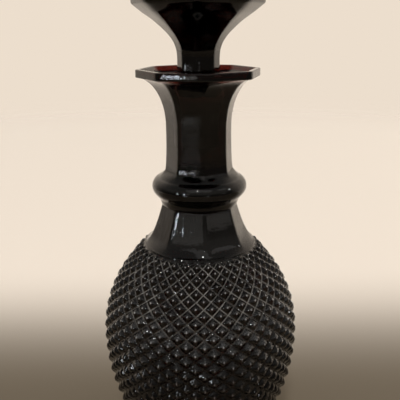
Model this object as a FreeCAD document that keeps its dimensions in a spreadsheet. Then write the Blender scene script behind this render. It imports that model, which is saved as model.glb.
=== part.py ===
import FreeCAD
import Part
import Sketcher
import math
import os

# Stoppered decanter: an octagonal-necked glass bottle with an egg-shaped body,
# a solid glass stopper, and the polymer sleeve that seals the stopper's plug.
# Millimetres. +Z is up along the bottle's axis, the origin is the middle of the
# standing ring, and one of the eight upright edges of the neck faces -Y.

doc = FreeCAD.newDocument("Decanter")

# ---------------------------------------------------------------- dimensions
DIMS = [
    # foot
    ("base_dish", 2.6),            # push-up of the underside
    ("dish_flat", 17.0),           # flat middle of the push-up
    ("foot_inner", 24.5),          # standing ring, inside edge
    ("foot_radius", 34.0),
    ("foot_edge", 0.9),            # break of the foot's lower edge
    ("foot_height", 4.6),
    # body, over the diamond points
    ("body_low_radius", 32.9),
    ("body_low_height", 8.0),
    ("body_radius", 53.2),
    ("body_mid_height", 73.0),
    ("body_low_arc", 114.2),
    ("body_top_arc", 63.4),
    ("body_top_radius", 37.3),
    ("body_top_height", 115.0),
    # ledge where the diamond points end and the panels begin
    ("ledge_a_radius", 31.9), ("ledge_a_height", 122.0),
    ("ledge_b_radius", 30.2), ("ledge_b_height", 123.6),
    ("ledge_c_radius", 27.6), ("ledge_c_height", 124.9),
    # shoulder, corner radii of the octagon
    ("shoulder_root_height", 120.6), ("shoulder_root_corner", 29.6),
    ("shoulder_a_height", 122.6), ("shoulder_a_corner", 28.5),
    ("shoulder_b_height", 127.5), ("shoulder_b_corner", 26.0),
    ("shoulder_c_height", 132.0), ("shoulder_c_corner", 24.0),
    ("shoulder_d_height", 138.0), ("shoulder_d_corner", 21.8),
    ("shoulder_top_height", 144.0), ("shoulder_top_corner", 19.9),
    # ring bead and the collar above it
    ("core_radius", 15.0),
    ("ring_root_radius", 20.0), ("ring_root_height", 144.8),
    ("ring_waist_radius", 21.2), ("ring_waist_height", 148.3),
    ("bead_arc", 5.2),
    ("bead_low_radius", 24.1), ("bead_low_height", 151.8),
    ("bead_top_radius", 21.3), ("bead_top_height", 159.0),
    ("collar_low_radius", 20.0), ("collar_low_height", 160.1),
    ("collar_radius", 17.5), ("collar_height", 162.8),
    # neck, corner radii of the octagon
    ("neck_a_height", 160.6), ("neck_a_corner", 18.0),
    ("neck_b_height", 166.5), ("neck_b_corner", 17.3),
    ("neck_c_height", 174.0), ("neck_c_corner", 16.95),
    ("neck_d_height", 182.0), ("neck_d_corner", 16.9),
    ("neck_e_height", 189.0), ("neck_e_corner", 17.25),
    ("neck_f_height", 195.0), ("neck_f_corner", 18.2),
    ("neck_g_height", 199.5), ("neck_g_corner", 19.7),
    ("neck_i_height", 203.2), ("neck_i_corner", 21.7),
    ("neck_j_height", 206.3), ("neck_j_corner", 24.5),
    ("neck_k_height", 208.4), ("neck_k_corner", 27.8),
    # lip
    ("lip_corner", 31.4),
    ("lip_low_height", 209.4),
    ("lip_band", 3.9),
    # inside
    ("floor_height", 9.0), ("floor_radius", 20.0), ("floor_arc", 19.0),
    ("cavity_low_radius", 32.85), ("cavity_low_height", 20.0),
    ("cavity_low_arc", 102.6),
    ("cavity_radius", 47.6),
    ("cavity_top_arc", 58.6),
    ("cavity_top_radius", 27.0), ("cavity_top_height", 117.6),
    ("throat_a_radius", 18.5), ("throat_a_height", 124.5),
    ("throat_b_radius", 13.0), ("throat_b_height", 137.0),
    ("throat_c_height", 148.0),
    ("bore_radius", 11.3),
    ("bore_top_height", 194.0),
    # flared mouth, corner radii of the octagon
    ("mouth_a_height", 186.0), ("mouth_a_corner", 11.05),
    ("mouth_b_height", 190.0), ("mouth_b_corner", 11.8),
    ("mouth_c_height", 194.0), ("mouth_c_corner", 12.65),
    ("mouth_d_height", 197.0), ("mouth_d_corner", 13.75),
    ("mouth_e_height", 200.0), ("mouth_e_corner", 15.05),
    ("mouth_f_height", 203.0), ("mouth_f_corner", 17.0),
    ("mouth_g_height", 206.0), ("mouth_g_corner", 19.8),
    ("mouth_h_height", 208.0), ("mouth_h_corner", 22.6),
    ("mouth_i_height", 209.5), ("mouth_i_corner", 25.3),
    ("mouth_j_height", 211.0), ("mouth_j_corner", 27.4),
    ("mouth_k_height", 213.3), ("mouth_k_corner", 28.7),
    ("mouth_l_height", 216.0), ("mouth_l_corner", 29.3),
    # stopper, corner radii of the octagon
    ("stopper_turn", -8.4),        # how the loose stopper happens to stand
    ("stem_low_height", 200.75), ("stem_low_corner", 11.2),
    ("stem_mid_height", 209.0), ("stem_mid_corner", 10.9),
    ("head_a_height", 217.3), ("head_a_corner", 10.55),
    ("head_b_height", 221.0), ("head_b_corner", 10.75),
    ("head_c_height", 225.0), ("head_c_corner", 11.85),
    ("head_d_height", 228.6), ("head_d_corner", 14.1),
    ("head_e_height", 232.3), ("head_e_corner", 17.7),
    ("head_f_height", 236.0), ("head_f_corner", 22.0),
    ("head_g_height", 239.6), ("head_g_corner", 27.2),
    ("rim_low_height", 243.65), ("rim_low_corner", 32.5),
    ("rim_top_height", 248.2), ("rim_top_corner", 32.8),
    ("crown_height", 250.8), ("crown_corner", 23.0),
    ("plug_radius", 8.0),
    ("plug_low_height", 174.0),
    ("plug_length", 27.5),
    ("plug_tip_radius", 7.0),
    ("plug_tip_length", 1.5),
    # sleeve
    ("sleeve_inner", 8.05),
    ("sleeve_outer", 10.5),
    ("sleeve_low_height", 175.5),
    ("sleeve_length", 25.1),
    ("sleeve_nose_outer", 9.7),
    ("sleeve_nose_length", 2.0),
    ("rib_outer", 11.25),
    ("rib_length", 2.2),
    ("rib_a_height", 179.0),
    ("rib_b_height", 185.0),
    ("rib_c_height", 191.0),
    ("flange_outer", 12.3),
    ("flange_length", 1.8),
]

sheet = doc.addObject("Spreadsheet::Sheet", "Dims")
for row, (alias, value) in enumerate(DIMS, start=1):
    sheet.set("A%d" % row, alias)
    sheet.set("B%d" % row, "%g" % value)
    sheet.setAlias("B%d" % row, alias)
doc.recompute()
D = dict(DIMS)


def cell(alias):
    return "Dims." + alias


# ------------------------------------------------------------------- helpers
def octagon(name, corner, height):
    """Octagon across the bottle's axis, with one corner towards -Y."""
    poly = doc.addObject("Part::RegularPolygon", name)
    poly.Polygon = 8
    poly.setExpression("Circumradius", cell(corner))
    poly.setExpression("Placement.Base.z", cell(height))
    return poly


def octagon_loft(name, stations, ruled=False):
    """Eight flat-faceted sides through the octagons at the named stations."""
    polys = [octagon("%s_%s" % (name, s), s + "_corner", s + "_height") for s in stations]
    loft = doc.addObject("Part::Loft", name)
    loft.Sections = polys
    loft.Solid = True
    loft.Ruled = ruled
    loft.Closed = False
    return loft


def cylinder(name, radius, low, length):
    cyl = doc.addObject("Part::Cylinder", name)
    cyl.setExpression("Radius", cell(radius))
    cyl.setExpression("Height", cell(length))
    cyl.setExpression("Placement.Base.z", cell(low))
    return cyl


def fuse(name, parts):
    obj = doc.addObject("Part::MultiFuse", name)
    obj.Shapes = parts
    obj.Refine = True
    return obj


def cut(name, base, tool):
    obj = doc.addObject("Part::Cut", name)
    obj.Base = base
    obj.Tool = tool
    return obj


def arc_centre(p, q, radius, left):
    """Centre of the arc from p to q, on the left or right of the way from p to q."""
    mx, my = (p[0] + q[0]) / 2.0, (p[1] + q[1]) / 2.0
    dx, dy = q[0] - p[0], q[1] - p[1]
    chord = math.hypot(dx, dy)
    rise = math.sqrt(max(radius * radius - chord * chord / 4.0, 0.0))
    sign = 1.0 if left else -1.0
    return mx - sign * dy / chord * rise, my + sign * dx / chord * rise


def turned(name, corners, sides):
    """Solid of revolution about Z.

    corners: (radius alias or None for the axis, height alias) round the outline.
    sides: for each corner, the side that leaves it: "line", or (arc alias, left),
    where left says that the arc's centre is on the left of the way along it.
    """
    sk = doc.addObject("Sketcher::SketchObject", name + "_outline")
    sk.Placement = FreeCAD.Placement(
        FreeCAD.Vector(0, 0, 0), FreeCAD.Rotation(FreeCAD.Vector(1, 0, 0), 90))
    pts = [(0.0 if r is None else D[r], D[z]) for r, z in corners]
    count = len(pts)
    ends = []
    for i, side in enumerate(sides):
        p, q = pts[i], pts[(i + 1) % count]
        if side == "line":
            g = sk.addGeometry(Part.LineSegment(
                FreeCAD.Vector(p[0], p[1], 0), FreeCAD.Vector(q[0], q[1], 0)), False)
            ends.append((g, 1, 2, None))
        else:
            alias, left = side
            cx, cy = arc_centre(p, q, D[alias], left)
            a = math.atan2(p[1] - cy, p[0] - cx)
            b = math.atan2(q[1] - cy, q[0] - cx)
            if not left:
                a, b = b, a
            while b < a:
                b += 2 * math.pi
            circle = Part.Circle(FreeCAD.Vector(cx, cy, 0), FreeCAD.Vector(0, 0, 1), D[alias])
            g = sk.addGeometry(Part.ArcOfCircle(circle, a, b), False)
            ends.append((g, 1, 2, alias) if left else (g, 2, 1, alias))
    for i in range(count):
        g, start, end, alias = ends[i]
        n, nstart, nend, nalias = ends[(i + 1) % count]
        sk.addConstraint(Sketcher.Constraint("Coincident", g, end, n, nstart))
    for i, (r, z) in enumerate(corners):
        g, start, end, alias = ends[i]
        if r is None:
            sk.addConstraint(Sketcher.Constraint("PointOnObject", g, start, -2))
        else:
            k = sk.addConstraint(Sketcher.Constraint("DistanceX", -1, 1, g, start, D[r]))
            sk.setExpression("Constraints[%d]" % k, cell(r))
        k = sk.addConstraint(Sketcher.Constraint("DistanceY", -1, 1, g, start, D[z]))
        sk.setExpression("Constraints[%d]" % k, cell(z))
        if alias is not None:
            k = sk.addConstraint(Sketcher.Constraint("Radius", g, D[alias]))
            sk.setExpression("Constraints[%d]" % k, cell(alias))
    rev = doc.addObject("Part::Revolution", name)
    rev.Source = sk
    rev.Axis = FreeCAD.Vector(0, 0, 1)
    rev.Base = FreeCAD.Vector(0, 0, 0)
    rev.Angle = 360.0
    rev.Solid = True
    return rev


# The foot's flat lies at height 0 and its edge is broken at one small radius.
for alias, formula in (
        ("ground", "0"),
        ("foot_flat", "%g" % (D["foot_radius"] - D["foot_edge"]))):
    row = len(DIMS) + 1
    DIMS.append((alias, float(formula)))
    sheet.set("A%d" % row, alias)
    sheet.set("B%d" % row, formula)
    sheet.setAlias("B%d" % row, alias)
    D[alias] = float(formula)
doc.recompute()

# -------------------------------------------------------------------- bottle
round_parts = turned(
    "foot_body_and_ring",
    [
        (None, "base_dish"),
        ("dish_flat", "base_dish"),
        ("foot_inner", "ground"),
        ("foot_flat", "ground"),
        ("foot_radius", "foot_edge"),
        ("foot_radius", "foot_height"),
        ("body_low_radius", "body_low_height"),
        ("body_radius", "body_mid_height"),
        ("body_top_radius", "body_top_height"),
        ("ledge_a_radius", "ledge_a_height"),
        ("ledge_b_radius", "ledge_b_height"),
        ("ledge_c_radius", "ledge_c_height"),
        ("core_radius", "ledge_c_height"),
        ("core_radius", "ring_root_height"),
        ("ring_root_radius", "ring_root_height"),
        ("ring_waist_radius", "ring_waist_height"),
        ("bead_low_radius", "bead_low_height"),
        ("bead_top_radius", "bead_top_height"),
        ("collar_low_radius", "collar_low_height"),
        ("collar_radius", "collar_height"),
        (None, "collar_height"),
    ],
    [
        "line",
        "line",
        "line",
        "line",
        "line",
        "line",
        ("body_low_arc", True),
        ("body_top_arc", True),
        "line",
        "line",
        "line",
        "line",
        "line",
        "line",
        "line",
        "line",
        ("bead_arc", True),
        "line",
        "line",
        "line",
        "line",
    ])
shoulder = octagon_loft("shoulder_panels", [
    "shoulder_root", "shoulder_a", "shoulder_b", "shoulder_c", "shoulder_d", "shoulder_top"])
octagon_lip = doc.addObject("Part::Prism", "lip_band_prism")
octagon_lip.Polygon = 8
octagon_lip.setExpression("Circumradius", cell("lip_corner"))
octagon_lip.setExpression("Height", cell("lip_band"))
octagon_lip.setExpression("Placement.Base.z", cell("lip_low_height"))

neck_stations = ["neck_a", "neck_b", "neck_c", "neck_d", "neck_e", "neck_f",
                 "neck_g", "neck_i", "neck_j", "neck_k"]
neck_polys = [octagon("neck_panels_" + s, s + "_corner", s + "_height") for s in neck_stations]
neck_polys.append(octagon("neck_panels_lip", "lip_corner", "lip_low_height"))
neck = doc.addObject("Part::Loft", "neck_panels")
neck.Sections = neck_polys
neck.Solid = True
neck.Ruled = False
neck.Closed = False

glass = fuse("bottle_glass", [round_parts, shoulder, neck, octagon_lip])
cavity = turned(
    "cavity",
    [
        (None, "floor_height"),
        ("floor_radius", "floor_height"),
        ("cavity_low_radius", "cavity_low_height"),
        ("cavity_radius", "body_mid_height"),
        ("cavity_top_radius", "cavity_top_height"),
        ("throat_a_radius", "throat_a_height"),
        ("throat_b_radius", "throat_b_height"),
        ("bore_radius", "throat_c_height"),
        ("bore_radius", "bore_top_height"),
        (None, "bore_top_height"),
    ],
    [
        "line",
        ("floor_arc", True),
        ("cavity_low_arc", True),
        ("cavity_top_arc", True),
        "line",
        "line",
        "line",
        "line",
        "line",
        "line",
    ])
mouth = octagon_loft("mouth", [
    "mouth_a", "mouth_b", "mouth_c", "mouth_d", "mouth_e", "mouth_f",
    "mouth_g", "mouth_h", "mouth_i", "mouth_j", "mouth_k", "mouth_l"])
bottle = cut("bottle", glass, fuse("bottle_inside", [cavity, mouth]))
bottle.Label = "bottle"

# ------------------------------------------------------------------- stopper
head = octagon_loft("stopper_head", [
    "stem_low", "stem_mid", "head_a", "head_b", "head_c", "head_d", "head_e",
    "head_f", "head_g", "rim_low"])
rim = octagon_loft("stopper_rim", ["rim_low", "rim_top"], ruled=True)
crown = octagon_loft("stopper_crown", ["rim_top", "crown"], ruled=True)
plug = cylinder("stopper_plug", "plug_radius", "plug_low_height", "plug_length")
tip = doc.addObject("Part::Cone", "stopper_plug_tip")
tip.setExpression("Radius1", cell("plug_tip_radius"))
tip.setExpression("Radius2", cell("plug_radius"))
tip.setExpression("Height", cell("plug_tip_length"))
tip.setExpression("Placement.Base.z", "Dims.plug_low_height - Dims.plug_tip_length")
stopper = fuse("stopper", [head, rim, crown, plug, tip])
stopper.Label = "stopper"
stopper.Placement = FreeCAD.Placement(
    FreeCAD.Vector(0, 0, 0),
    FreeCAD.Rotation(FreeCAD.Vector(0, 0, 1), D["stopper_turn"]))

# -------------------------------------------------------------------- sleeve
wall = cylinder("sleeve_wall", "sleeve_outer", "sleeve_low_height", "sleeve_length")
wall.setExpression("Placement.Base.z", "Dims.sleeve_low_height + Dims.sleeve_nose_length")
wall.setExpression("Height", "Dims.sleeve_length - Dims.sleeve_nose_length")
nose = doc.addObject("Part::Cone", "sleeve_nose")
nose.setExpression("Radius1", cell("sleeve_nose_outer"))
nose.setExpression("Radius2", cell("sleeve_outer"))
nose.setExpression("Height", cell("sleeve_nose_length"))
nose.setExpression("Placement.Base.z", cell("sleeve_low_height"))
ribs = [cylinder("sleeve_" + r, "rib_outer", r + "_height", "rib_length")
        for r in ("rib_a", "rib_b", "rib_c")]
flange = cylinder("sleeve_flange", "flange_outer", "sleeve_low_height", "flange_length")
flange.setExpression(
    "Placement.Base.z", "Dims.sleeve_low_height + Dims.sleeve_length - Dims.flange_length")
sleeve_outside = fuse("sleeve_outside", [wall, nose, flange] + ribs)
sleeve_bore = cylinder("sleeve_bore", "sleeve_inner", "sleeve_low_height", "sleeve_length")
sleeve = cut("stopper_sleeve", sleeve_outside, sleeve_bore)
sleeve.Label = "stopper_sleeve"

# --------------------------------------------------------------------- write
doc.recompute()
for obj in doc.Objects:
    bad = [s for s in obj.State if s in ("Invalid", "Error")]
    if bad:
        raise RuntimeError("%s is %s" % (obj.Name, bad))
for part in (bottle, stopper, sleeve):
    if part.Shape.isNull() or not part.Shape.isValid() or part.Shape.Volume <= 0:
        raise RuntimeError("%s has no valid solid" % part.Label)
    if len(part.Shape.Solids) != 1:
        raise RuntimeError("%s has %d solids" % (part.Label, len(part.Shape.Solids)))

os.makedirs("parts", exist_ok=True)
for part in (bottle, stopper, sleeve):
    part.Shape.exportStep("parts/%s.step" % part.Label)
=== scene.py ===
import bpy
import math
import numpy as np
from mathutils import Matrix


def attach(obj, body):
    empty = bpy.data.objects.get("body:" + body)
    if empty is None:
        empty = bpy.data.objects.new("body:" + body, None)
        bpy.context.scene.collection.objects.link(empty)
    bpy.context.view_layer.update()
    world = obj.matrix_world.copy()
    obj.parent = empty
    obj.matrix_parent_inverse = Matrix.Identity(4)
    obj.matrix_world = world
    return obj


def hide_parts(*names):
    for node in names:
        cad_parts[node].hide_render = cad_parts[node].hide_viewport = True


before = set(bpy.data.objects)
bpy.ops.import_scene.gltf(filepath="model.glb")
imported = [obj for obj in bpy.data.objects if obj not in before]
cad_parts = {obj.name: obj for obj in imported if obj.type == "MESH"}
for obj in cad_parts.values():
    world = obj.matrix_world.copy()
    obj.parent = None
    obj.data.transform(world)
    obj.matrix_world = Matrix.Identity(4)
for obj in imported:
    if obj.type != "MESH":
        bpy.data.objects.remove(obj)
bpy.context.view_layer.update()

MM = 0.001
SEG = 576            # round the outside of the bottle, 16 to a diamond
SEG_IN = 144         # round the inside
POINTS = 36          # diamond points round the body
COS8 = math.cos(math.pi / 8.0)


# ------------------------------------------------------------------ geometry
def octagon(phi, corner, sharp):
    """Radius of an octagon with softened corners; corners at 0, 45, 90 ... degrees."""
    total = np.zeros_like(phi)
    for k in range(8):
        c = np.cos(phi - math.radians(22.5 + 45.0 * k))
        total += np.where(c > 0.3, np.maximum(c, 1e-6) ** sharp, 0.0)
    return corner * COS8 / total ** (1.0 / sharp)


def ring(phi, radius, height):
    radius = np.broadcast_to(radius, phi.shape)
    height = np.broadcast_to(height, phi.shape)
    return np.stack([radius * np.sin(phi), -radius * np.cos(phi), height], axis=1)


def smooth_table(xs, ys, x):
    """Monotone cubic through a table of values."""
    xs, ys = np.asarray(xs, float), np.asarray(ys, float)
    h = np.diff(xs)
    d = np.diff(ys) / h
    m = np.empty_like(xs)
    m[1:-1] = np.where(d[:-1] * d[1:] > 0, 2 * d[:-1] * d[1:] / (d[:-1] + d[1:] + 1e-12), 0.0)
    m[0], m[-1] = d[0], d[-1]
    x = np.asarray(x, float)
    i = np.clip(np.searchsorted(xs, x) - 1, 0, len(xs) - 2)
    t = (x - xs[i]) / h[i]
    return ((1 + 2 * t) * (1 - t) ** 2 * ys[i] + t * (1 - t) ** 2 * h[i] * m[i]
            + t * t * (3 - 2 * t) * ys[i + 1] + t * t * (t - 1) * h[i] * m[i + 1])


def smoothstep(a, b, x):
    t = np.clip((np.asarray(x, float) - a) / (b - a), 0.0, 1.0)
    return t * t * (3 - 2 * t)


def mesh_object(name, verts, faces, material):
    mesh = bpy.data.meshes.new(name)
    mesh.from_pydata([tuple(v) for v in verts], [], faces)
    mesh.polygons.foreach_set("use_smooth", [True] * len(mesh.polygons))
    mesh.update()
    mesh.validate()
    obj = bpy.data.objects.new(name, mesh)
    bpy.context.scene.collection.objects.link(obj)
    mesh.materials.append(material)
    return obj


class Shell:
    """Rings of points joined into a closed skin."""

    def __init__(self):
        self.verts, self.faces, self.count = [], [], 0

    def add_ring(self, pts):
        start = self.count
        self.verts.append(pts)
        self.count += len(pts)
        return start, len(pts)

    def add_point(self, p):
        start = self.count
        self.verts.append(np.array([p], float))
        self.count += 1
        return start

    def join(self, a, b):
        (i, n), (j, m) = a, b
        if n == m:
            for k in range(n):
                q = (k + 1) % n
                self.faces.append((i + k, i + q, j + q, j + k))
        else:
            step = n // m
            for k in range(m):
                face = [i + (k * step + s) % n for s in range(step + 1)]
                face += [j + (k + 1) % m, j + k]
                self.faces.append(tuple(face))

    def cap(self, point, a, flip):
        i, n = a
        for k in range(n):
            q = (k + 1) % n
            self.faces.append((point, i + k, i + q) if flip else (point, i + q, i + k))

    def chain(self, rings):
        ids = [self.add_ring(r) for r in rings]
        for a, b in zip(ids[:-1], ids[1:]):
            self.join(a, b)
        return ids

    def points(self):
        return np.concatenate(self.verts) * MM


# --------------------------------------------------------- bottle, millimetres
PHI = np.arange(SEG) * 2 * math.pi / SEG
PHI_IN = np.arange(SEG_IN) * 2 * math.pi / SEG_IN

BODY_R, BODY_Z = 53.2, 73.0
LOW_ARC, TOP_ARC = 114.2, 63.4
BODY_LOW, BODY_TOP = 8.0, 123.4
RUN_Z = 115.0                    # start of the run up to the shoulder panels
DEPTH = 2.0


def body_radius(z):
    z = np.asarray(z, float)
    arc = np.where(z < BODY_Z, LOW_ARC, TOP_ARC)
    egg = BODY_R - arc + np.sqrt(arc * arc - (z - BODY_Z) ** 2)
    run = smooth_table([113.0, RUN_Z, 118.4, 121.1, BODY_TOP], [38.52, 37.29, 34.8, 32.5, 29.6], z)
    return np.where(z > RUN_Z, run, egg)


def diamonds(phi, v):
    """Diamond-point relief: height (0 in the grooves, 1 on the points) and the masks of its parts."""
    u = phi * POINTS / (2 * math.pi) - 0.5
    p, q = u + v, u - v
    fp = np.abs(p - np.round(p)) * 2.0
    fq = np.abs(q - np.round(q)) * 2.0
    m = np.maximum(fp, fq)
    soft = 12.0
    top = np.log((2 * np.cosh(soft * fp) + 2 * np.cosh(soft * fq)) / 4.0) / soft
    top = np.clip(top / (1.0 - math.log(2.0) / soft), 0.0, 1.0)
    slope = 1.0 - top ** 1.3
    bend = 0.05
    h = np.sqrt(slope ** 2 + bend * bend) - bend
    h = h / (math.sqrt(1.0 + bend * bend) - bend)
    # Masks for colour painted on the glass: grey in the grooves (partly dust, partly a painted highlight), white dots
    # and upright dashes at the points (painted highlights over some wear), and hood, the upper face of each point (a
    # painted sheen).
    groove = smoothstep(0.82, 0.97, m)
    dot = 1.0 - smoothstep(0.03, 0.21, m)
    a, b = p - np.round(p), q - np.round(q)
    side, above = np.abs(a + b) / 2.0, (a - b) / 2.0
    dash = (1.0 - smoothstep(0.01, 0.06, side)) * smoothstep(-0.10, -0.02, above) * (
        1.0 - smoothstep(0.06, 0.20, above))
    hood = smoothstep(0.0, 0.05, above) * (1.0 - smoothstep(0.10, 0.85, m))
    return np.clip(h, 0.0, 1.0), groove, dot, dash, hood


def body_rings():
    zs = np.linspace(BODY_LOW, BODY_TOP, 4001)
    rs = body_radius(zs)
    ds = np.hypot(np.diff(zs), np.diff(rs))
    arc = np.concatenate([[0.0], np.cumsum(ds)])
    half = 2.06 + 0.034 * rs
    dv = ds / (half[1:] + half[:-1])
    v = np.concatenate([[0.0], np.cumsum(dv)])
    v -= np.interp(113.4, zs, v)          # one row of points lies at this height
    total = arc[-1]
    count = int(total / 0.42)
    rings, masks, tips, hoods = [], [], [], []
    for s in np.linspace(0.0, total, count):
        z = float(np.interp(s, arc, zs))
        r = float(np.interp(s, arc, rs))
        vv = float(np.interp(s, arc, v))
        slope = float(np.interp(s, arc[1:], np.diff(rs) / ds))
        rise = float(np.interp(s, arc[1:], np.diff(zs) / ds))
        amp = float(smoothstep(0.3, 2.4, total - s) * smoothstep(0.8, 4.0, s))
        h, groove, dot, dash, hood = diamonds(PHI, vv)
        # Painted light on the points: white dots on the upper rows and short upright dashes lower down stand for
        # highlights over some wear; the grey groove lines fade to almost nothing below 80 mm as painted shade; the
        # whitened upper faces (hoods) are a painted sheen, kept to a band from about 70 to 108 mm.
        high = float(smoothstep(72.0, 92.0, z))
        tips.append(amp * (dot * high + 0.55 * dash * (1.0 - high)))
        masks.append(groove * amp * float(0.03 + 0.97 * smoothstep(80.0, 103.0, z)))
        hoods.append(hood * amp * float(smoothstep(70.0, 88.0, z) * (1.0 - 0.6 * smoothstep(94.0, 108.0, z))))
        drop = DEPTH * ((1.0 - h) * amp + 0.45 * (1.0 - amp))
        rings.append(ring(PHI, r - drop * rise, z + drop * slope))
    return rings, masks, tips, hoods


def oct_ring(corner, z, weight=1.0, radius=None, sharp=64.0, phi=PHI):
    o = octagon(phi, corner, sharp)
    if weight >= 1.0:
        return ring(phi, o, z)
    base = corner if radius is None else radius
    return ring(phi, o * weight + base * (1.0 - weight), z)


def drawn(points, count):
    """Smooth line through (radius, height) points."""
    pts = np.array(points, float)
    run = np.concatenate([[0.0], np.cumsum(np.hypot(*np.diff(pts, axis=0).T))])
    at = np.linspace(0.0, run[-1], count)
    return list(zip(smooth_table(run, pts[:, 0], at), smooth_table(run, pts[:, 1], at)))


def fillet(centre, radius, start, end, count):
    out = []
    for a in np.radians(np.linspace(start, end, count)):
        out.append((centre[0] + radius * math.cos(a), centre[1] + radius * math.sin(a)))
    return out


def bottle_mesh(material):
    sh = Shell()
    rings = []
    # underside, standing ring and foot
    for r, z in [(6.0, 2.6), (16.4, 2.6), (17.2, 2.5), (20.5, 1.4), (23.6, 0.32), (24.6, 0.06), (25.4, 0.0),
                 (29.0, 0.0), (32.4, 0.0)]:
        rings.append(ring(PHI, r, z))
    for r, z in fillet((32.7, 1.3), 1.3, -75, 0, 6):
        rings.append(ring(PHI, r, z))
    rings.append(ring(PHI, 34.0, 2.4))
    for r, z in fillet((32.9, 3.4), 1.1, 0, 70, 6):
        rings.append(ring(PHI, r, z))
    rings.append(ring(PHI, 32.4, 4.75))
    rings.append(ring(PHI, 31.8, 5.4))
    rings.append(ring(PHI, 31.6, 6.4))
    rings.append(ring(PHI, 31.8, 7.3))
    first = len(rings)
    body, masks, tips, hoods = body_rings()
    rings += body
    # soft edge at the foot of the panels
    for r, z in drawn([(29.3, 123.52), (29.0, 123.62), (28.7, 123.75)], 4):
        rings.append(ring(PHI, r, z))
    # shoulder panels, swept out to the round edge of the pattern
    zt = [123.75, 125.0, 126.5, 128.0, 130.0, 132.0, 138.0, 144.0]
    rt = [28.7, 27.75, 26.75, 25.9, 24.87, 23.95, 21.75, 19.9]
    for z in np.concatenate([np.linspace(123.95, 129.0, 22), np.linspace(129.5, 143.2, 28)]):
        rings.append(oct_ring(float(smooth_table(zt, rt, z)), z, float(smoothstep(122.4, 128.6, z))))
    rings.append(oct_ring(20.08, 143.55))
    rings.append(oct_ring(19.9, 143.85))
    rings.append(oct_ring(19.75, 144.02, 0.9, 19.3))
    rings.append(oct_ring(19.6, 144.2, 0.5, 19.3))
    rings.append(oct_ring(19.55, 144.4, 0.15, 19.5))
    # ring: undercut cone, bead and collar
    for r, z in drawn([(19.75, 144.75), (20.2, 145.7), (20.65, 147.0), (21.2, 148.3), (22.2, 149.5),
                       (23.2, 150.6), (23.85, 151.5)], 22):
        rings.append(ring(PHI, r, z))
    for r, z in fillet((19.4, 154.2), 5.2, -26.0, 66.0, 40):
        rings.append(ring(PHI, r, z))
    rings.append(ring(PHI, 20.95, 159.2))
    rings.append(ring(PHI, 20.5, 159.55))
    rings.append(ring(PHI, 20.15, 159.9))
    rings.append(ring(PHI, 19.7, 160.35))
    rings.append(oct_ring(19.3, 160.9, 0.15, 19.15))
    rings.append(oct_ring(18.9, 161.45, 0.4, 18.6))
    rings.append(oct_ring(18.45, 161.95, 0.7, 18.1))
    rings.append(oct_ring(18.1, 162.4, 0.92, 17.8))
    # neck
    zn = [161.0, 163.0, 166.5, 174.0, 182.0, 185.4]
    rn = [18.1, 17.75, 17.35, 16.98, 16.88, 16.885]
    for z in np.concatenate([[162.7, 163.2], np.linspace(164.0, 185.0, 26)]):
        rings.append(oct_ring(float(smooth_table(zn, rn, z)), z))
    for a in np.radians(np.concatenate([np.linspace(2, 70, 34), np.linspace(71, 86.5, 14)])):
        z = 185.4 + 24.0 * math.sin(a)
        rings.append(oct_ring((29.0 - 13.4 * math.cos(a)) / COS8, z))
    # lip band, with softened arrises
    for r, z in fillet((28.5, 209.9), 0.5, -80, 0, 6):
        rings.append(oct_ring(r / COS8, z))
    for z in (210.6, 211.4, 212.2):
        rings.append(oct_ring(29.0 / COS8, z))
    for r, z in fillet((28.4, 212.7), 0.6, 0, 85, 7):
        rings.append(oct_ring(r / COS8, z))
    rings.append(oct_ring(28.1 / COS8, 213.3))
    ids = sh.chain(rings)
    bottom = sh.add_point((0, 0, 2.6))
    sh.cap(bottom, ids[0], False)

    # inside, from the octagonal mouth down to the floor
    inner = []
    inner.append(oct_ring(29.05, 213.27, phi=PHI_IN))
    inner.append(oct_ring(28.82, 213.12, phi=PHI_IN))
    inner.append(oct_ring(28.68, 212.85, phi=PHI_IN))
    zm = [186.0, 190.0, 194.0, 197.0, 200.0, 203.0, 206.0, 208.0, 209.5, 211.0, 213.3]
    rm = [11.05, 11.8, 12.65, 13.75, 15.05, 17.0, 19.8, 22.6, 25.3, 27.4, 28.7]
    for z in np.concatenate([np.linspace(212.4, 206.0, 16), np.linspace(205.2, 190.4, 18)]):
        r = float(smooth_table(zm, rm, z))
        o = np.maximum(octagon(PHI_IN, r, 64.0), 11.3)
        inner.append(ring(PHI_IN, o, z))
    for z in np.linspace(188.6, 150.0, 10):
        inner.append(ring(PHI_IN, 11.3, z))
    zt2 = [117.6, 121.0, 124.5, 130.0, 137.0, 143.0, 149.0]
    rt2 = [27.0, 22.4, 18.7, 15.3, 12.9, 11.7, 11.3]
    for z in np.linspace(148.0, 118.4, 20):
        inner.append(ring(PHI_IN, float(smooth_table(zt2, rt2, z)), z))
    for z in 73.0 + 58.6 * np.sin(np.linspace(math.asin(44.6 / 58.6), 0.0, 22)):
        inner.append(ring(PHI_IN, -11.0 + math.sqrt(58.6 ** 2 - (z - 73.0) ** 2), z))
    for z in np.linspace(71.0, 20.0, 22):
        inner.append(ring(PHI_IN, -55.0 + math.sqrt(102.6 ** 2 - (z - 73.0) ** 2), z))
    for r, z in [(32.0, 17.9), (30.3, 15.4), (27.8, 12.9), (24.6, 10.8), (20.6, 9.5), (15.0, 9.0), (7.0, 9.0)]:
        inner.append(ring(PHI_IN, r, z))
    inn = sh.chain(inner)
    sh.join(ids[-1], inn[0])
    floor = sh.add_point((0, 0, 9.0))
    sh.cap(floor, inn[-1], True)
    obj = mesh_object("bottle_glass_skin", sh.points(), sh.faces, material)
    at_body = ids[first][0]
    for name, values in (("groove", masks), ("tip", tips), ("hood", hoods)):
        flat = np.concatenate(values)
        mask = np.zeros(sh.count, np.float32)
        mask[at_body:at_body + len(flat)] = flat
        layer = obj.data.attributes.new(name, "FLOAT", "POINT")
        layer.data.foreach_set("value", mask)
    return obj


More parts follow.
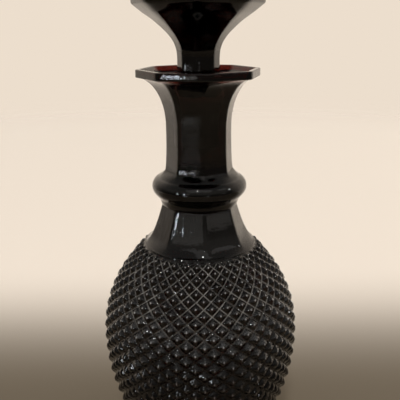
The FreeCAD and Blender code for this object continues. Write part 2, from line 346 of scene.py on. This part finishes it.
def stopper_mesh(material):
    seg = 288
    phi = np.arange(seg) * 2 * math.pi / seg
    turn = math.radians(-8.4)
    sh = Shell()

    def oc(corner, z, weight=1.0, radius=None):
        base = corner if radius is None else radius
        o = octagon(phi, corner * 1.012, 30.0)
        pts = o * weight + base * (1.0 - weight)
        return ring(phi, pts, z)

    rings = []
    for r, z in [(3.0, 172.5), (6.2, 172.5)]:
        rings.append(ring(phi, r, z))
    for r, z in [(6.9, 172.6), (7.4, 172.95), (7.85, 173.6), (8.0, 174.3)]:
        rings.append(ring(phi, r, z))
    for z in np.linspace(178.0, 200.0, 8):
        rings.append(ring(phi, 8.0, z))
    rings.append(ring(phi, 8.0, 200.62))
    rings.append(ring(phi, 8.06, 200.7))
    rings.append(oc(8.6, 200.75, 0.3))
    rings.append(oc(10.6, 200.78, 0.9))
    rings.append(oc(11.0, 200.95))
    rings.append(oc(11.2, 201.4))
    zt = [200.75, 209.0, 217.3, 221.0, 225.0, 228.6, 232.3, 236.0, 239.6, 243.65]
    rt = [11.2, 10.9, 10.55, 10.75, 11.85, 14.1, 17.7, 22.0, 27.2, 32.5]
    for z in np.concatenate([np.linspace(202.5, 216.0, 12), np.linspace(217.0, 243.2, 60)]):
        rings.append(oc(float(smooth_table(zt, rt, z)), z))
    rings.append(oc(32.2, 243.5))
    rings.append(oc(32.45, 243.85))
    rings.append(oc(32.52, 244.3))
    for z in (245.2, 246.2, 247.2):
        rings.append(oc(32.52 + 0.07 * (z - 244.3), z))
    rings.append(oc(32.72, 247.75))
    rings.append(oc(32.5, 248.2))
    rings.append(oc(31.9, 248.5))
    for t in np.linspace(0.08, 0.94, 10):
        rings.append(oc(32.8 - 9.8 * t, 248.2 + 2.6 * t))
    rings.append(oc(23.1, 250.68))
    rings.append(oc(22.4, 250.8))
    rings.append(oc(12.0, 250.8, 0.7))
    ids = sh.chain(rings)
    low = sh.add_point((0, 0, 172.5))
    sh.cap(low, ids[0], False)
    top = sh.add_point((0, 0, 250.8))
    sh.cap(top, ids[-1], True)
    pts = sh.points()
    c, s = math.cos(turn), math.sin(turn)
    out = pts.copy()
    out[:, 0] = c * pts[:, 0] - s * pts[:, 1]
    out[:, 1] = s * pts[:, 0] + c * pts[:, 1]
    return mesh_object("stopper_glass_skin", out, sh.faces, material)


# ------------------------------------------------------------------ materials
def new_material(name):
    mat = bpy.data.materials.new(name)
    mat.use_nodes = True
    nodes, links = mat.node_tree.nodes, mat.node_tree.links
    nodes.clear()
    out = nodes.new("ShaderNodeOutputMaterial")
    bsdf = nodes.new("ShaderNodeBsdfPrincipled")
    links.new(bsdf.outputs["BSDF"], out.inputs["Surface"])
    return mat, nodes, links, bsdf, out


def noise(nodes, links, coord, scale, detail, rough=0.5):
    n = nodes.new("ShaderNodeTexNoise")
    n.inputs["Scale"].default_value = scale
    n.inputs["Detail"].default_value = detail
    n.inputs["Roughness"].default_value = rough
    links.new(coord, n.inputs["Vector"])
    return n


def ruby_glass(name, seed, density, dust_and_painted_light, base):
    mat, nodes, links, bsdf, out = new_material(name)
    bsdf.inputs["Base Color"].default_value = base
    bsdf.inputs["IOR"].default_value = 1.52
    bsdf.inputs["Transmission Weight"].default_value = 1.0
    tex = nodes.new("ShaderNodeTexCoord")
    shift = nodes.new("ShaderNodeMapping")
    shift.inputs["Location"].default_value = (seed, seed * 0.37, seed * 1.7)
    links.new(tex.outputs["Object"], shift.inputs["Vector"])
    coord = shift.outputs["Vector"]
    # handling haze: broad faint smears and a finer grain
    smear = noise(nodes, links, coord, 55.0, 4.0, 0.6)
    ramp = nodes.new("ShaderNodeMapRange")
    ramp.inputs["From Min"].default_value = 0.35
    ramp.inputs["From Max"].default_value = 0.75
    ramp.inputs["To Min"].default_value = 0.02
    ramp.inputs["To Max"].default_value = 0.08
    links.new(smear.outputs["Fac"], ramp.inputs["Value"])
    if not dust_and_painted_light:
        links.new(ramp.outputs["Result"], bsdf.inputs["Roughness"])
    # pressed-glass waviness and fine pitting
    wave = noise(nodes, links, coord, 140.0, 2.0, 0.45)
    pit = noise(nodes, links, coord, 900.0, 3.0, 0.6)
    # the small faces of the points came out of the mould smoother than the panels
    axes = nodes.new("ShaderNodeSeparateXYZ")
    links.new(tex.outputs["Object"], axes.inputs["Vector"])
    calm = nodes.new("ShaderNodeMapRange")
    calm.inputs["From Min"].default_value = 0.118
    calm.inputs["From Max"].default_value = 0.126
    calm.inputs["To Min"].default_value = 0.25
    calm.inputs["To Max"].default_value = 1.0
    links.new(axes.outputs["Z"], calm.inputs["Value"])

    def calmed(source):
        n = nodes.new("ShaderNodeMath")
        n.operation = "MULTIPLY"
        links.new(source.outputs["Fac"], n.inputs[0])
        links.new(calm.outputs["Result"], n.inputs[1])
        return n.outputs["Value"]

    b1 = nodes.new("ShaderNodeBump")
    b1.inputs["Strength"].default_value = 0.11
    b1.inputs["Distance"].default_value = 0.0009
    links.new(calmed(wave), b1.inputs["Height"])
    # upright ripples that the hot glass took from the mould
    tall = nodes.new("ShaderNodeMapping")
    tall.inputs["Scale"].default_value = (1.0, 1.0, 0.18)
    links.new(coord, tall.inputs["Vector"])
    ripple = noise(nodes, links, tall.outputs["Vector"], 330.0, 2.0, 0.5)
    # only the flat panels of the shoulder and the neck carry them
    level = nodes.new("ShaderNodeMapRange")
    level.inputs["From Min"].default_value = 0.12
    level.inputs["From Max"].default_value = 0.22
    links.new(axes.outputs["Z"], level.inputs["Value"])
    zone = nodes.new("ShaderNodeValToRGB")
    stops = [(0.04, 0.0), (0.07, 1.0), (0.23, 1.0), (0.255, 0.0), (0.50, 0.0), (0.56, 0.6), (0.78, 0.6), (0.84, 0.0)]
    while len(zone.color_ramp.elements) < len(stops):
        zone.color_ramp.elements.new(0.5)
    for stop, (place, value) in zip(zone.color_ramp.elements, stops):
        stop.position = place
        stop.color = (value, value, value, 1.0)
    links.new(level.outputs["Result"], zone.inputs["Fac"])
    masked = nodes.new("ShaderNodeMath")
    masked.operation = "MULTIPLY"
    links.new(ripple.outputs["Fac"], masked.inputs[0])
    links.new(zone.outputs["Color"], masked.inputs[1])
    b3 = nodes.new("ShaderNodeBump")
    b3.inputs["Strength"].default_value = 0.15 if dust_and_painted_light else 0.0
    b3.inputs["Distance"].default_value = 0.0006
    links.new(masked.outputs["Value"], b3.inputs["Height"])
    links.new(b1.outputs["Normal"], b3.inputs["Normal"])
    b2 = nodes.new("ShaderNodeBump")
    b2.inputs["Strength"].default_value = 0.08
    b2.inputs["Distance"].default_value = 0.00025
    links.new(calmed(pit), b2.inputs["Height"])
    links.new(b3.outputs["Normal"], b2.inputs["Normal"])
    links.new(b2.outputs["Normal"], bsdf.inputs["Normal"])
    if dust_and_painted_light:
        # grey in the grooves between the diamond points, partly old dust and partly a painted highlight; points dulled
        # by wear and whitened as painted highlights; upper faces whitened as a painted sheen
        def math_node(op, a, b):
            n = nodes.new("ShaderNodeMath")
            n.operation = op
            for socket, value in zip(n.inputs, (a, b)):
                if isinstance(value, float):
                    socket.default_value = value
                else:
                    links.new(value, socket)
            return n.outputs["Value"]

        def tone(fac, a, b):
            n = nodes.new("ShaderNodeMix")
            n.data_type = "RGBA"
            links.new(fac, n.inputs[0])
            if isinstance(a, tuple):
                n.inputs[6].default_value = a
            else:
                links.new(a, n.inputs[6])
            n.inputs[7].default_value = b
            return n.outputs[2]

        mask = nodes.new("ShaderNodeAttribute")
        mask.attribute_name = "groove"
        worn_and_highlit_tips = nodes.new("ShaderNodeAttribute")
        worn_and_highlit_tips.attribute_name = "tip"
        upper = nodes.new("ShaderNodeAttribute")
        upper.attribute_name = "hood"
        patch = noise(nodes, links, coord, 110.0, 5.0, 0.68)
        part = nodes.new("ShaderNodeMapRange")
        part.inputs["From Min"].default_value = 0.36
        part.inputs["From Max"].default_value = 0.70
        part.inputs["To Min"].default_value = 0.10
        part.inputs["To Max"].default_value = 0.85
        links.new(patch.outputs["Fac"], part.inputs["Value"])
        # Groove grey: partly dust, partly a painted highlight of light caught in the grooves.
        groove_dust_and_highlight = math_node("MULTIPLY", mask.outputs["Fac"], part.outputs["Result"])
        grain = noise(nodes, links, coord, 1500.0, 2.0, 0.7)
        speck = nodes.new("ShaderNodeMapRange")
        speck.inputs["From Min"].default_value = 0.38
        speck.inputs["From Max"].default_value = 0.68
        speck.inputs["To Min"].default_value = 0.03
        speck.inputs["To Max"].default_value = 0.16
        links.new(grain.outputs["Fac"], speck.inputs["Value"])
        # Painted sheen: fine grey speckle on the upper faces of the points.
        upper_face_sheen = math_node("MULTIPLY", upper.outputs["Fac"], speck.outputs["Result"])
        bare = nodes.new("ShaderNodeMapRange")
        bare.inputs["From Min"].default_value = 0.3
        bare.inputs["From Max"].default_value = 0.7
        bare.inputs["To Min"].default_value = 0.30
        bare.inputs["To Max"].default_value = 1.0
        links.new(patch.outputs["Fac"], bare.inputs["Value"])
        # Whitened points and upper faces: painted highlights and sheen, with some wear; less glass shows through there.
        wear_and_highlight = math_node("MAXIMUM", math_node("MULTIPLY", worn_and_highlit_tips.outputs["Fac"], bare.outputs["Result"]), upper_face_sheen)
        full = nodes.new("ShaderNodeMapRange")
        full.inputs["From Min"].default_value = 0.0
        full.inputs["From Max"].default_value = 0.3
        links.new(mask.outputs["Fac"], full.inputs["Value"])
        # Grey in the grooves, then white on the points and upper faces: painted highlights and sheen over dust and
        # wear.
        dust_and_highlight_tone = tone(full.outputs["Result"], base, (0.56, 0.54, 0.50, 1.0))
        either = math_node("MINIMUM", math_node("ADD", worn_and_highlit_tips.outputs["Fac"],
                                                math_node("MULTIPLY", upper.outputs["Fac"], 3.0)), 1.0)
        links.new(tone(either, dust_and_highlight_tone, (0.92, 0.92, 0.94, 1.0)), bsdf.inputs["Base Color"])
        links.new(math_node("SUBTRACT", math_node("SUBTRACT", 1.0, groove_dust_and_highlight), wear_and_highlight),
                  bsdf.inputs["Transmission Weight"])
        dull = math_node("MAXIMUM", math_node("MULTIPLY", worn_and_highlit_tips.outputs["Fac"], 0.33),
                         math_node("MULTIPLY", upper.outputs["Fac"], 0.25))
        links.new(math_node("ADD", ramp.outputs["Result"], dull), bsdf.inputs["Roughness"])
    vol = nodes.new("ShaderNodeVolumeAbsorption")
    vol.inputs["Color"].default_value = (0.6, 0.18, 0.15, 1.0)
    vol.inputs["Density"].default_value = density
    links.new(vol.outputs["Volume"], out.inputs["Volume"])
    return mat


def polymer(name):
    mat, nodes, links, bsdf, out = new_material(name)
    tex = nodes.new("ShaderNodeTexCoord")
    coord = tex.outputs["Object"]
    cloud = noise(nodes, links, coord, 220.0, 4.0, 0.55)
    ramp = nodes.new("ShaderNodeValToRGB")
    ramp.color_ramp.elements[0].color = (0.69, 0.67, 0.60, 1)
    ramp.color_ramp.elements[1].color = (0.78, 0.76, 0.70, 1)
    ramp.color_ramp.elements[0].position = 0.3
    ramp.color_ramp.elements[1].position = 0.7
    links.new(cloud.outputs["Fac"], ramp.inputs["Fac"])
    links.new(ramp.outputs["Color"], bsdf.inputs["Base Color"])
    bsdf.inputs["Roughness"].default_value = 0.42
    bsdf.inputs["Transmission Weight"].default_value = 0.55
    bsdf.inputs["Subsurface Weight"].default_value = 0.15
    bsdf.inputs["Subsurface Radius"].default_value = (0.002, 0.0017, 0.0012)
    grain = noise(nodes, links, coord, 1600.0, 2.0, 0.5)
    bump = nodes.new("ShaderNodeBump")
    bump.inputs["Strength"].default_value = 0.12
    bump.inputs["Distance"].default_value = 0.0001
    links.new(grain.outputs["Fac"], bump.inputs["Height"])
    links.new(bump.outputs["Normal"], bsdf.inputs["Normal"])
    return mat


bottle_mat = ruby_glass("dark_ruby_glass", 0.0, 1000.0, True, (0.27, 0.17, 0.135, 1.0))
stopper_mat = ruby_glass("dark_ruby_glass_stopper", 3.1, 4000.0, False, (0.10, 0.032, 0.028, 1.0))
sleeve_mat = polymer("sleeve_polymer_white")

bottle = bottle_mesh(bottle_mat)
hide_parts("bottle")
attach(bottle, "bottle")

stopper = stopper_mesh(stopper_mat)
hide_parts("stopper")
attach(stopper, "stopper")

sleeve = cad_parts["stopper_sleeve"]
if len(sleeve.material_slots) == 0:
    sleeve.data.materials.append(sleeve_mat)
for slot in sleeve.material_slots:
    slot.material = sleeve_mat


# ---------------------------------------------------------------------- stage
VIEW = math.radians(7.25)        # the camera stands this far to the left of -Y
ROOM_FRONT = (0.095, 0.082, 0.070, 1.0)
ROOM_BACK = (0.84, 0.73, 0.61, 1.0)
ROOM_HIGH = (0.27, 0.257, 0.235, 1.0)
ROOM_TOP = (0.20, 0.193, 0.185, 1.0)
scene = bpy.context.scene
scene.view_settings.view_transform = "Standard"
scene.view_settings.look = "None"


def stage_floor():
    n, half = 96, 1.6
    verts, faces = [], []
    verts.append((0.0, 0.0, -0.0002))
    radii = [0.05, 0.12, 0.25, 0.5, 0.9, half]
    for r in radii:
        for k in range(n):
            a = 2 * math.pi * k / n
            verts.append((r * math.cos(a), r * math.sin(a), -0.0002))
    for k in range(n):
        faces.append((0, 1 + k, 1 + (k + 1) % n))
    for i in range(len(radii) - 1):
        for k in range(n):
            q = (k + 1) % n
            faces.append((1 + i * n + k, 1 + (i + 1) * n + k, 1 + (i + 1) * n + q, 1 + i * n + q))
    mat, nodes, links, bsdf, out = new_material("pale_floor")
    bsdf.inputs["Base Color"].default_value = (0.30, 0.252, 0.190, 1.0)
    bsdf.inputs["Roughness"].default_value = 0.9
    bsdf.inputs["Specular IOR Level"].default_value = 0.15
    # the floor fades out towards its rim
    tex = nodes.new("ShaderNodeTexCoord")
    far = nodes.new("ShaderNodeVectorMath")
    far.operation = "LENGTH"
    links.new(tex.outputs["Object"], far.inputs[0])
    fade = nodes.new("ShaderNodeMapRange")
    fade.interpolation_type = "SMOOTHSTEP"
    fade.inputs["From Min"].default_value = 1.0
    fade.inputs["From Max"].default_value = 1.58
    fade.inputs["To Min"].default_value = 1.0
    fade.inputs["To Max"].default_value = 0.0
    links.new(far.outputs["Value"], fade.inputs["Value"])
    links.new(fade.outputs["Result"], bsdf.inputs["Alpha"])
    obj = mesh_object("floor", verts, faces, mat)
    return obj


def world_light():
    """A soft room: pale behind the object, dim on the camera's side, a mild ceiling."""
    world = bpy.data.worlds.new("soft_room")
    bpy.context.scene.world = world
    world.use_nodes = True
    nodes, links = world.node_tree.nodes, world.node_tree.links
    nodes.clear()
    out = nodes.new("ShaderNodeOutputWorld")
    bg = nodes.new("ShaderNodeBackground")
    tex = nodes.new("ShaderNodeTexCoord")

    def part(direction, low, high):
        dot = nodes.new("ShaderNodeVectorMath")
        dot.operation = "DOT_PRODUCT"
        dot.inputs[1].default_value = direction
        links.new(tex.outputs["Generated"], dot.inputs[0])
        rng = nodes.new("ShaderNodeMapRange")
        rng.interpolation_type = "SMOOTHSTEP"
        rng.inputs["From Min"].default_value = low
        rng.inputs["From Max"].default_value = high
        links.new(dot.outputs["Value"], rng.inputs["Value"])
        return rng.outputs["Result"]

    def mix(fac, a, b):
        m = nodes.new("ShaderNodeMix")
        m.data_type = "RGBA"
        links.new(fac, m.inputs[0])
        for socket, value in ((m.inputs[6], a), (m.inputs[7], b)):
            if isinstance(value, tuple):
                socket.default_value = value
            else:
                links.new(value, socket)
        return m.outputs[2]

    turn = VIEW + math.radians(9.0)
    back = part((math.sin(turn), math.cos(turn), 0.0), -0.1, 0.75)
    rise = part((0.0, 0.0, 1.0), 0.08, 0.42)
    up = part((0.0, 0.0, 1.0), 0.5, 0.9)
    room = mix(back, mix(rise, ROOM_FRONT, ROOM_HIGH), ROOM_BACK)
    links.new(mix(up, room, ROOM_TOP), bg.inputs["Color"])
    bg.inputs["Strength"].default_value = 1.0
    links.new(bg.outputs["Background"], out.inputs["Surface"])


def area(name, place, target, size, size_y, power, colour):
    light = bpy.data.lights.new(name, "AREA")
    light.shape = "RECTANGLE"
    light.size, light.size_y = size, size_y
    light.energy = power
    light.color = colour
    obj = bpy.data.objects.new(name, light)
    bpy.context.scene.collection.objects.link(obj)
    obj.location = place
    d = np.array(target) - np.array(place)
    yaw = math.atan2(d[1], d[0])
    pitch = math.atan2(d[2], math.hypot(d[0], d[1]))
    obj.rotation_euler = (math.pi / 2 + pitch, 0.0, yaw - math.pi / 2)
    return obj


stage_floor()
world_light()

# camera
DIST, HIGH = 0.2844, 0.235
cam_data = bpy.data.cameras.new("camera")
cam_data.sensor_fit = "HORIZONTAL"
cam_data.sensor_width = 36.0
cam_data.lens = 565.0 / 400.0 * 36.0
cam_data.clip_start = 0.01
cam = bpy.data.objects.new("camera", cam_data)
bpy.context.scene.collection.objects.link(cam)
cam.location = (-DIST * math.sin(VIEW), -DIST * math.cos(VIEW), HIGH)
cam.rotation_mode = "XYZ"
pitch, roll, aim = math.radians(17.47), math.radians(-0.40), math.radians(-0.06)
from mathutils import Matrix
rot = (Matrix.Rotation(aim - VIEW, 4, "Z") @ Matrix.Rotation(math.pi / 2 - pitch, 4, "X")
       @ Matrix.Rotation(roll, 4, "Z"))
cam.rotation_euler = rot.to_euler("XYZ")
bpy.context.scene.camera = cam


def at(az, el, dist, height=0.15):
    """A point seen from the bottle: az from the camera's side, to the right."""
    a = math.radians(az) - VIEW
    e = math.radians(el)
    return (dist * math.cos(e) * math.sin(a), -dist * math.cos(e) * math.cos(a), height + dist * math.sin(e))


def glint(*args):
    """A bright pane that only shows as a highlight on the glass."""
    obj = area(*args)
    obj.visible_diffuse = False
    obj.visible_transmission = False
    obj.visible_camera = False
    return obj


side = area("window_left", at(-52, 10, 1.4), (0, 0, 0.16), 0.10, 0.40, 0.8, (0.88, 0.94, 1.0))
side.visible_diffuse = False
lamp = area("lamp_high", at(-4, 52, 1.4), (0, 0, 0.16), 0.14, 0.14, 4.2, (1.0, 0.99, 0.97))
lamp.visible_transmission = False
lamp.visible_glossy = False
fill = area("fill_right", at(122, 20, 1.4), (0, 0, 0.16), 0.8, 0.8, 2.6, (1.0, 0.97, 0.92))
fill.visible_glossy = False
glint("window_low", at(-33.5, -5.2, 1.0, 0.2115), (0, 0, 0.21), 0.040, 0.022, 0.060, (0.84, 0.91, 1.0))
glint("window_edge", at(-30.9, -5.2, 1.0, 0.2115), (0, 0, 0.21), 0.049, 0.022, 0.006, (1.0, 0.97, 0.92))
glint("pane_left", at(-36, 12, 1.4), (0, 0, 0.16), 0.05, 0.16, 0.78, (0.86, 0.92, 1.0))
glint("pane_mid", at(-12, 40, 1.4), (0, 0, 0.16), 0.07, 0.07, 0.45, (0.95, 0.97, 1.0))
glint("pane_high", at(-6, 56, 1.4), (0, 0, 0.16), 0.07, 0.07, 0.7, (0.95, 0.97, 1.0))
glint("pane_right", at(20, 3, 1.4), (0, 0, 0.16), 0.07, 0.10, 0.13, (0.95, 0.97, 1.0))
glint("pane_far", at(84, 30, 1.4), (0, 0, 0.16), 0.08, 0.08, 0.30, (0.95, 0.97, 1.0))
glint("slat_wide", at(-30.2, 0, 0.25, 0.108), (0, 0, 0.108), 0.019, 0.066, 0.0006, (0.95, 0.98, 1.0))
glint("slat_thin", at(-31.8, 0, 0.25, 0.100), (0, 0, 0.100), 0.003, 0.044, 0.00028, (0.95, 0.98, 1.0))
glint("card_left", at(-31, 16, 1.4), (0, 0, 0.16), 0.35, 0.45, 0.15, (1.0, 0.97, 0.92))
glint("card_right", at(60, 6.8, 1.4), (0, 0, 0.16), 0.35, 0.15, 0.060, (1.0, 0.96, 0.90))
glint("high_right", at(72, 46, 1.4), (0, 0, 0.16), 0.50, 0.35, 0.19, (1.0, 0.97, 0.93))
glint("ceiling_front", at(0, 54, 1.4), (0, 0, 0.16), 1.25, 0.75, 1.0, (1.0, 0.98, 0.95))
middle = (0.985 * math.sin(VIEW), 0.985 * math.cos(VIEW))
soft = area("back_soft", (middle[0], middle[1], 0.30), (middle[0], middle[1], 0.0), 1.70, 3.2, 50.5, (0.83, 0.873, 1.0))
soft.rotation_euler[2] -= VIEW
soft.data.spread = math.radians(42.0)
soft.visible_glossy = False
soft.visible_transmission = False
soft.visible_camera = False
